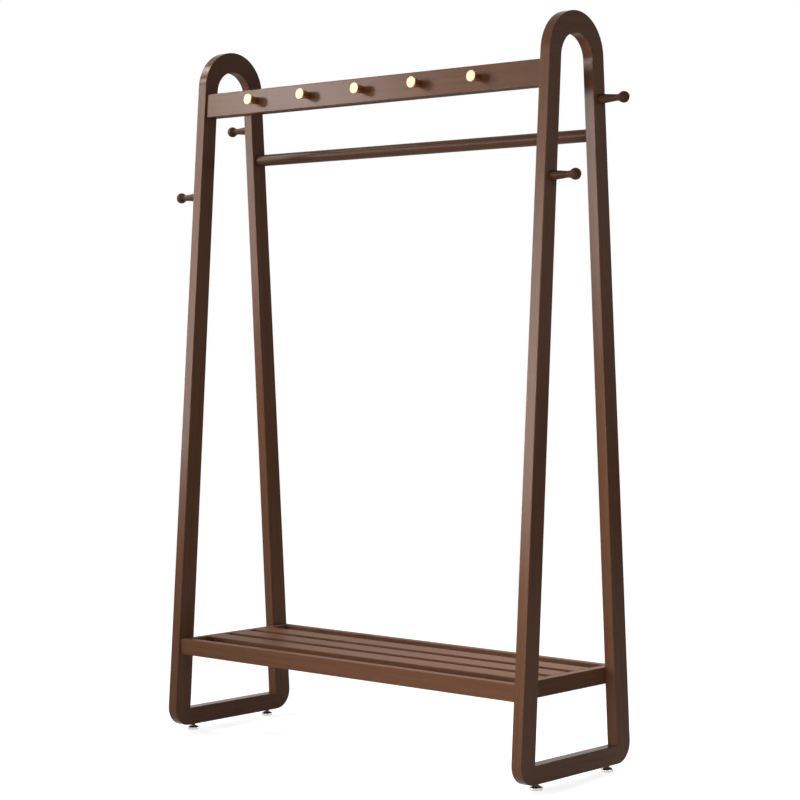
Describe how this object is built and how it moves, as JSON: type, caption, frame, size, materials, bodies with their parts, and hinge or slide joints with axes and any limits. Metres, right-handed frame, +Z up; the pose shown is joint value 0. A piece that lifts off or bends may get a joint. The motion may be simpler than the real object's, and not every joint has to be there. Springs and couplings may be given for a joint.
{
  "type": "clothes rack",
  "caption": "Free-standing wooden clothes rack: arched A-shaped side frames, peg rail with brass pegs, hanging rod, turned side pegs, slatted shelf and screw-in levelling feet.",
  "frame": {"origin": "on the floor, under the middle of the rack", "axes": "+X along the hanging rod to the right seen from the front, +Y from the front to the rear, +Z up"},
  "size_m": [1.256, 0.3976, 1.686],
  "materials": {
    "walnut_lacquer": "dark walnut-brown satin lacquer",
    "dowel_wood": "raw beech",
    "brass": "brushed brass",
    "chrome": "polished chrome plate",
    "zinc_steel": "zinc-plated steel",
    "zinc_alloy": "die-cast zinc alloy"
  },
  "bodies": {
    "rack": {"peg_rail": "walnut_lacquer", "hanging_rod": "walnut_lacquer", "shelf_front_rail": "walnut_lacquer", "shelf_rear_rail": "walnut_lacquer", "shelf_left_rail": "walnut_lacquer", "shelf_right_rail": "walnut_lacquer", "shelf_slat_1": "walnut_lacquer", "shelf_slat_2": "walnut_lacquer", "shelf_slat_3": "walnut_lacquer", "left_arch": "walnut_lacquer", "left_foot_rail": "walnut_lacquer", "left_front_leg": "walnut_lacquer", "left_front_peg": "walnut_lacquer", "left_rear_leg": "walnut_lacquer", "left_rear_peg": "walnut_lacquer", "right_arch": "walnut_lacquer", "right_foot_rail": "walnut_lacquer", "right_front_leg": "walnut_lacquer", "right_front_peg": "walnut_lacquer", "right_rear_leg": "walnut_lacquer", "right_rear_peg": "walnut_lacquer", "left_frame_dowels": "dowel_wood", "right_frame_dowels": "dowel_wood", "peg_rail_dowels": "dowel_wood", "shelf_corner_dowels": "dowel_wood", "slat_dowels": "dowel_wood", "brass_peg_1": "brass", "brass_peg_2": "brass", "brass_peg_3": "brass", "brass_peg_4": "brass", "brass_peg_5": "brass", "cam_bolts": "zinc_steel", "brass_peg_studs": "zinc_steel", "foot_inserts": "zinc_steel", "cam_locks": "zinc_alloy"},
    "left_front_foot_screw": {"left_front_foot_stem": "zinc_steel"},
    "left_front_foot_base": {"left_front_foot_pad": "chrome"},
    "left_rear_foot_screw": {"left_rear_foot_stem": "zinc_steel"},
    "left_rear_foot_base": {"left_rear_foot_pad": "chrome"},
    "right_front_foot_screw": {"right_front_foot_stem": "zinc_steel"},
    "right_front_foot_base": {"right_front_foot_pad": "chrome"},
    "right_rear_foot_screw": {"right_rear_foot_stem": "zinc_steel"},
    "right_rear_foot_base": {"right_rear_foot_pad": "chrome"}
  },
  "joints": [
    {"name": "left_front_foot_lift", "type": "slide", "parent": "rack", "child": "left_front_foot_screw", "axis": [0, 0, 1], "range_m": [-0.01, 0.003]},
    {"name": "left_front_foot_turn", "type": "hinge", "parent": "left_front_foot_screw", "child": "left_front_foot_base", "pos_m": [-0.5362, -0.129, 0], "axis": [0, 0, 1], "range_deg": [-2400, 720]},
    {"name": "left_rear_foot_lift", "type": "slide", "parent": "rack", "child": "left_rear_foot_screw", "axis": [0, 0, 1], "range_m": [-0.01, 0.003]},
    {"name": "left_rear_foot_turn", "type": "hinge", "parent": "left_rear_foot_screw", "child": "left_rear_foot_base", "pos_m": [-0.5362, 0.129, 0], "axis": [0, 0, 1], "range_deg": [-2400, 720]},
    {"name": "right_front_foot_lift", "type": "slide", "parent": "rack", "child": "right_front_foot_screw", "axis": [0, 0, 1], "range_m": [-0.01, 0.003]},
    {"name": "right_front_foot_turn", "type": "hinge", "parent": "right_front_foot_screw", "child": "right_front_foot_base", "pos_m": [0.5362, -0.129, 0], "axis": [0, 0, 1], "range_deg": [-2400, 720]},
    {"name": "right_rear_foot_lift", "type": "slide", "parent": "rack", "child": "right_rear_foot_screw", "axis": [0, 0, 1], "range_m": [-0.01, 0.003]},
    {"name": "right_rear_foot_turn", "type": "hinge", "parent": "right_rear_foot_screw", "child": "right_rear_foot_base", "pos_m": [0.5362, 0.129, 0], "axis": [0, 0, 1], "range_deg": [-2400, 720]}
  ],
  "couplings": [
    {"joint": "left_front_foot_turn", "follows": "left_front_foot_lift", "rad_per_m": 4188.8},
    {"joint": "left_rear_foot_turn", "follows": "left_rear_foot_lift", "rad_per_m": 4188.8},
    {"joint": "right_front_foot_turn", "follows": "right_front_foot_lift", "rad_per_m": 4188.8},
    {"joint": "right_rear_foot_turn", "follows": "right_rear_foot_lift", "rad_per_m": 4188.8}
  ]
}
